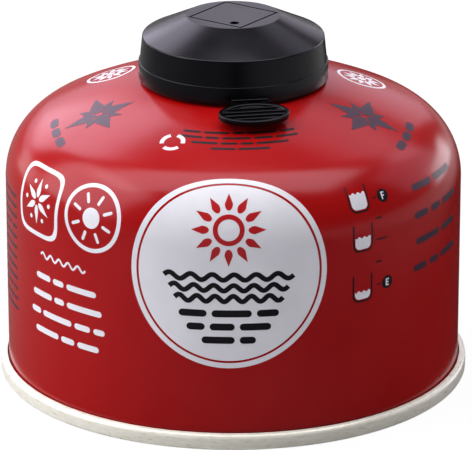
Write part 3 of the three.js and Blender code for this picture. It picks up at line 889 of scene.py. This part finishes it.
def stroke(path, width):
    """A line of one width along a path, as a shape"""
    left, right = [], []
    last = len(path) - 1
    for i, (x, y) in enumerate(path):
        before, after = path[max(i - 1, 0)], path[min(i + 1, last)]
        dx, dy = after[0] - before[0], after[1] - before[1]
        half = width / 2 / hypot(dx, dy)
        left.append((x - dy * half, y + dx * half))
        right.append((x + dy * half, y - dx * half))
    return [left + right[::-1]]


def moved(shapes, x, y, turn=0):
    """Shapes turned by an angle in degrees and moved"""
    c, s = cos(radians(turn)), sin(radians(turn))
    return [
        [[(x + px * c - py * s, y + px * s + py * c) for px, py in loop] for loop in shape]
        for shape in shapes
    ]


def ringed(shapes, count, first=0):
    """Shapes repeated round the origin, from a first angle in degrees"""
    turns = [first + 360 * i / count for i in range(count)]
    return [shape for turn in turns for shape in moved(shapes, 0, 0, turn)]


def word_rows(rows, pitch, height, gap=0.9):
    """Rows of bars in word lengths, centred, from the top one down"""
    shapes = []
    for i, lengths in enumerate(rows):
        x = -(sum(lengths) + gap * (len(lengths) - 1)) / 2
        for length in lengths:
            shapes.append([rounded_bar(x, -i * pitch, length, height)])
            x += length + gap
    return shapes


def petal(inner, outer, width):
    """A drop-shaped petal that points away from the origin along Y"""
    widest = inner + (outer - inner) * PETAL_WIDEST
    turns = [pi * i / 8 for i in range(5)]
    right = [(width / 2 * sin(a), inner + (widest - inner) * (1 - cos(a))) for a in turns]
    left = [(-x, y) for x, y in reversed(right[1:])]
    return [right + [(0, outer)] + left]


def petal_ring(count, inner, outer, width):
    """Petals in a ring"""
    return ringed([petal(inner, outer, width)], count)


def superellipse(half_width, half_height, power):
    """A rounded outline between an ellipse and a box"""
    loop = []
    for i in range(SIGN_FACETS):
        c, s = cos(2 * pi * i / SIGN_FACETS), sin(2 * pi * i / SIGN_FACETS)
        x = half_width * abs(c) ** (2 / power) * (1 if c > 0 else -1)
        y = half_height * abs(s) ** (2 / power) * (1 if s > 0 else -1)
        loop.append((x, y))
    return loop


def wave(length, height, turns, width):
    """A wavy line about the origin"""
    count = WAVE_STEPS * turns
    path = [
        (length * (i / count - 0.5), height * sin(2 * pi * turns * i / count))
        for i in range(count + 1)
    ]
    return stroke(path, width)


def print_badge():
    """The round badge on the front: white border, pale panel, burner, waves and bars"""
    border = [ring(BADGE_RADIUS, BADGE_RADIUS - BADGE_BORDER, BADGE_FACETS)]
    printed("print_badge_border", border, white_ink, BADGE_PLACE)
    panel = [[circle(0, 0, BADGE_PANEL_RADIUS, BADGE_FACETS)]]
    printed("print_badge_panel", panel, white_ink, BADGE_PLACE)
    burner = [ring(2.9, 2.0), *petal_ring(12, inner=3.6, outer=6.9, width=1.5)]
    printed("print_badge_burner", moved(burner, 0, 8.4), red_ink, BADGE_PLACE, SECOND_INK)
    waves = []
    for i in range(3):
        line = wave(length=24 - 2 * i, height=0.55, turns=6, width=0.95)
        waves += moved([line], 0, -0.6 - 2.1 * i)
    printed("print_badge_waves", waves, black_ink, BADGE_PLACE, SECOND_INK)
    lengths = [[5.2, 7.4, 4.1], [3.4, 4.6, 5.8], [6.1, 3.0]]
    rows = moved(word_rows(lengths, pitch=2.6, height=1.35), 0, -7.7)
    printed("print_badge_rows", rows, black_ink, BADGE_PLACE, SECOND_INK)


def print_side_signs():
    """White figures on the left of the front: a sun in a ring, a crystal in a soft square"""
    rays = ringed([[rounded_bar(2.8, 0, length=2.1, height=0.62)]], 8, 22.5)
    sun = [ring(6.6, 5.8, SIGN_FACETS), [circle(0, 0, 1.95)], *rays]
    printed("print_sun_sign", sun, white_ink, SUN_PLACE)
    dots = ringed([[circle(0, 3.9, 0.42, DOT_FACETS)]], 6, 30)
    outline = [superellipse(6.8, 6.8, 5), superellipse(5.95, 5.95, 5)]
    crystal = [outline, *petal_ring(6, inner=0.7, outer=4.4, width=1.25), *dots]
    printed("print_crystal_sign", crystal, white_ink, CRYSTAL_PLACE)


def print_rows():
    """Bars in word lengths where the can carries its lines of small print"""
    lengths = [[4.6, 3.1, 7.4], [6.2, 2.8, 8.6], [3.2, 8.4, 3.9, 2.6], [7.3, 3.6, 5.2]]
    rows = word_rows(lengths, pitch=3.6, height=1.15, gap=0.8)
    printed("print_left_rows", rows, white_ink, LEFT_ROWS_PLACE)
    line = wave(length=12.6, height=0.5, turns=5, width=0.42)
    printed("print_left_wave", [line], white_ink, LEFT_WAVE_PLACE)
    lengths = [[6.4, 7.6], [4.4, 3.6, 6.8], [8.2, 6.6], [4.2, 3.4, 7.4]]
    rows = word_rows(lengths, pitch=5.2, height=1.3, gap=1.1)
    printed("print_right_rows", rows, grey_ink, RIGHT_ROWS_PLACE)
    lengths = [
        [3.4, 4.8, 2.2, 5.6, 3.1], [4.2, 2.6, 5.4, 3.6, 4.4], [5.0, 3.2, 2.4, 6.2], [4.6, 6.0],
    ]
    rows = word_rows(lengths, pitch=1.55, height=0.6, gap=0.5)
    printed("print_shoulder_rows", rows, black_ink, SHOULDER_ROWS_PLACE)
    lengths = [[9.2, 4.4], [3.6, 10.2], [6.8, 7.4], [11.2, 3.0], [5.2, 8.8], [7.8, 6.4]] * 2
    rows = word_rows(lengths, pitch=2.05, height=0.62, gap=0.6)
    printed("print_edge_rows", rows, grey_ink, EDGE_ROWS_PLACE)
    lengths = [[8.4, 5.2, 9.6], [4.6, 11.8, 6.2], [9.2, 7.4, 5.4], [6.4, 12.6]] * 2
    rows = word_rows(lengths, pitch=3.1, height=1.0)
    printed("print_back_rows", rows, white_ink, BACK_ROWS_PLACE)


def bowl(half_flat, centre, radius):
    """The round-cornered bottom of a vessel, from its left to its right"""
    bend = [pi * (1 + i / 12) for i in range(13)]
    return [
        (radius * cos(a) + (half_flat if i > 6 else -half_flat), centre + radius * sin(a))
        for i, a in enumerate(bend)
    ]


def vessel(fill):
    """An open vessel's outline and the wavy liquid in it, filled up to a height"""
    wall = [(-2.05, 2.5), *bowl(0.75, -1.3, 1.3), (2.05, 2.5)]
    top = [(1.7 - 3.4 * i / 18, fill + 0.18 * sin(2 * pi * 3 * i / 18)) for i in range(19)]
    return [stroke(wall, 0.3)[0]], [bowl(0.7, -1.2, 1.0) + top]


def print_level_scale():
    """The level scale on the right: three vessels, ticks and the full and empty marks"""
    for level, run, fill in [("full", 46.2, 0.9), ("half", 38.7, 0.1), ("low", 28.9, -0.7)]:
        outline, liquid = vessel(fill)
        printed(f"print_vessel_{level}", [outline], black_ink, (VESSEL_ANGLE, run))
        printed(f"print_liquid_{level}", [liquid], white_ink, (VESSEL_ANGLE, run))
    ticks = []
    for length, y in [(1.5, 4.1), (2.7, 0), (1.5, -4.4)]:
        ticks += moved([[rounded_bar(0, 0, length, TICK_HEIGHT)]], 0, y)
    printed("print_level_ticks", ticks, black_ink, TICKS_PLACE)
    stem = [(-0.36, -0.7), (-0.08, -0.7), (-0.08, -0.14), (0.3, -0.14), (0.3, 0.12), (-0.08, 0.12)]
    head = [(-0.08, 0.44), (0.4, 0.44), (0.4, 0.7), (-0.36, 0.7)]
    foot = [(-0.36, -0.7), (0.4, -0.7), (0.4, -0.44), (-0.08, -0.44), *stem[2:]]
    mark = [[circle(0, 0, 1.25)], [rounded_bar(-2.5, 0, 0.9, TICK_HEIGHT)]]
    for level, run, letter in [("full", 45.6, stem + head), ("empty", 28.8, foot + head)]:
        printed(f"print_mark_{level}", mark, black_ink, (MARK_ANGLE, run))
        printed(f"print_letter_{level}", [[letter]], white_ink, (MARK_ANGLE, run), SECOND_INK)


def print_shoulder():
    """Figures on the shoulder: two dark compass roses, a broken ring and the rosettes behind"""
    petals = petal_ring(4, inner=0.5, outer=7.0, width=2.9)
    between = moved(petal_ring(4, inner=1.9, outer=5.0, width=1.5), 0, 0, 45)
    blocks = [[rounded_bar(-5.9 + 4.1 * i, 0, length=3.5, height=1.7)] for i in range(3)]
    rose = [*moved([*petals, *between], 0, 1.6), *moved(blocks, 0, -7.2)]
    for side, angle, turn in [("left", -65, -14), ("right", 62, 14)]:
        printed(f"print_rose_{side}", moved(rose, 0, 0, turn), grey_ink, (angle, ROSE_RUN))
    arcs = [[radians(120 * k + 7.5 * i) for i in range(12)] for k in range(3)]
    broken = [stroke([(2.0 * cos(a), 2.0 * sin(a)) for a in angles], 0.8) for angles in arcs]
    printed("print_broken_ring", broken, white_ink, BROKEN_RING_PLACE)
    petals = petal_ring(10, inner=1.4, outer=3.9, width=1.2)
    rosette = [ring(4.9, 4.3, SIGN_FACETS), *petals, [circle(0, 0, 0.9)]]
    for side, angle in [("left", -112), ("right", 105)]:
        printed(f"print_rosette_{side}", rosette, white_ink, (angle, ROSETTE_RUN))


print_badge()
print_side_signs()
print_rows()
print_level_scale()
print_shoulder()


# Floor, light and background


# How bright the white background is for each kind of ray, and how far it hides the lit floor
BACKGROUND_LEVEL = {"Is Camera Ray": 1.06, "Is Glossy Ray": 0.1, "Is Transmission Ray": 1.0}
BACKGROUND_COVER = {"Is Camera Ray": 0.88, "Is Glossy Ray": 1.0, "Is Transmission Ray": 0.88}
# What mirrors see of the floor: its level at places along X, from the can's left to its right
FLOOR_IN_MIRRORS = [(-0.09, 0.27), (0.03, 0.02), (0.11, 0.02), (0.19, 0.6)]
AMBIENT_LEVEL = 0.08
FLOOR_RADIUS = 4
FLOOR_FACETS = 96
FLOOR_COLOUR = (0.6, 0.6, 0.6, 1)
WHITE = (1, 1, 1, 1)
LAMP_COLOUR = (0.98, 0.97, 1)
BACK_COLOUR = (0.9, 0.84, 1)


def make_floor():
    """A floor that the camera sees as white with the object's shadow, and mirrors see graded"""
    bm = bmesh.new()
    bmesh.ops.create_circle(
        bm, cap_ends=True, cap_tris=False, segments=FLOOR_FACETS, radius=FLOOR_RADIUS,
        matrix=Matrix(), calc_uvs=False,
    )
    floor_piece = make_object(bm, "floor")
    material = bpy.data.materials.new("pale floor")
    material.use_nodes = True
    nodes, links = material.node_tree.nodes, material.node_tree.links
    nodes.remove(nodes["Principled BSDF"])
    output = nodes["Material Output"]
    lit = nodes.new("ShaderNodeBsdfDiffuse")
    lit.inputs["Color"].default_value = FLOOR_COLOUR
    white = nodes.new("ShaderNodeEmission")
    white.inputs["Color"].default_value = WHITE
    mix = nodes.new("ShaderNodeMixShader")
    path = nodes.new("ShaderNodeLightPath")
    level = nodes.new("ShaderNodeMix")
    links.new(path.outputs["Is Glossy Ray"], level.inputs["Factor"])
    links.new(by_ray(nodes, links, BACKGROUND_LEVEL, 0), level.inputs["A"])
    links.new(floor_in_mirrors(nodes, links), level.inputs["B"])
    links.new(level.outputs["Result"], white.inputs["Strength"])
    links.new(by_ray(nodes, links, BACKGROUND_COVER, 0), mix.inputs["Fac"])
    links.new(lit.outputs["BSDF"], mix.inputs[1])
    links.new(white.outputs["Emission"], mix.inputs[2])
    links.new(mix.outputs["Shader"], output.inputs["Surface"])
    floor_piece.data.materials.append(material)


def floor_in_mirrors(nodes, links):
    """The floor's level for mirrors, by its place along X"""
    first, last = FLOOR_IN_MIRRORS[0][0], FLOOR_IN_MIRRORS[-1][0]
    place = nodes.new("ShaderNodeTexCoord")
    split = nodes.new("ShaderNodeSeparateXYZ")
    along = nodes.new("ShaderNodeMapRange")
    along.inputs["From Min"].default_value = first
    along.inputs["From Max"].default_value = last
    ramp = nodes.new("ShaderNodeValToRGB")
    stops = ramp.color_ramp.elements
    for x, level in FLOOR_IN_MIRRORS[1:-1]:
        stops.new((x - first) / (last - first))
    for stop, (x, level) in zip(stops, FLOOR_IN_MIRRORS):
        stop.color = (level, level, level, 1)
    links.new(place.outputs["Object"], split.inputs["Vector"])
    links.new(split.outputs["X"], along.inputs["Value"])
    links.new(along.outputs["Result"], ramp.inputs["Fac"])
    return ramp.outputs["Color"]


def by_ray(nodes, links, values, others):
    """A number that depends on the kind of ray: camera, mirror, glass or any other"""
    path = nodes.new("ShaderNodeLightPath")
    seen = None
    for ray, value in values.items():
        part = nodes.new("ShaderNodeMath")
        part.operation = "MULTIPLY_ADD"
        part.inputs[1].default_value = value - others
        part.inputs[2].default_value = others
        links.new(path.outputs[ray], part.inputs[0])
        if seen:
            links.new(seen, part.inputs[2])
        seen = part.outputs[0]
    return seen


def make_world():
    """White behind the object, and an even dim light from all round"""
    world = bpy.data.worlds.new("studio")
    world.use_nodes = True
    bpy.context.scene.world = world
    nodes, links = world.node_tree.nodes, world.node_tree.links
    background = nodes["Background"]
    background.inputs["Color"].default_value = WHITE
    links.new(by_ray(nodes, links, BACKGROUND_LEVEL, AMBIENT_LEVEL), background.inputs["Strength"])


def soft_light(name, place, target, size, power, colour):
    """A rectangular soft box aimed at a point"""
    data = bpy.data.lights.new(name, "AREA")
    data.shape = "RECTANGLE"
    data.size, data.size_y = size
    data.energy = power
    data.color = colour
    lamp = bpy.data.objects.new(name, data)
    lamp.location = place
    away = [a - b for a, b in zip(place, target)]
    level = hypot(away[0], away[1])
    lamp.rotation_euler = (atan2(level, away[2]), 0, atan2(away[0], -away[1]))
    lamp.visible_camera = False
    bpy.context.scene.collection.objects.link(lamp)


make_floor()
make_world()

# Each soft box's place, the point it is aimed at, its size, its power and its colour. A box
# turns with its aim, so the ones over the can are aimed along Y and stay long from side to side.
SOFT_BOXES = {
    "overhead box": ((-0.1, -0.04, 0.9), (-0.1, 0, 0.03), (1.5, 0.55), 10.5, LAMP_COLOUR),
    "left box": ((-1.0, -0.05, 0.6), (0, 0, 0.03), (1.1, 1.0), 11.8, LAMP_COLOUR),
    "right box": ((0.85, 0.4, 0.5), (0, 0, 0.03), (0.7, 0.6), 1.3, BACK_COLOUR),
    "back box": ((-0.25, 1.3, 0.45), (0, 0, 0.05), (1.8, 0.6), 3.4, BACK_COLOUR),
    "back left box": ((-0.48, 0.8, 0.62), (0, 0, 0.05), (0.5, 0.7), 2.8, BACK_COLOUR),
    "back top box": ((0.15, 0.7, 0.8), (0.15, 0, 0.05), (1.7, 0.38), 2.4, BACK_COLOUR),
    "right strip": ((0.75, 0.7, 0.12), (0, 0, 0.05), (0.5, 0.25), 1.4, LAMP_COLOUR),
    "left strip": ((-0.8, 0.6, 0.12), (0, 0, 0.05), (0.4, 0.25), 0.6, LAMP_COLOUR),
}
for name, values in SOFT_BOXES.items():
    soft_light(name, *values)

bpy.context.scene.view_settings.view_transform = "Standard"
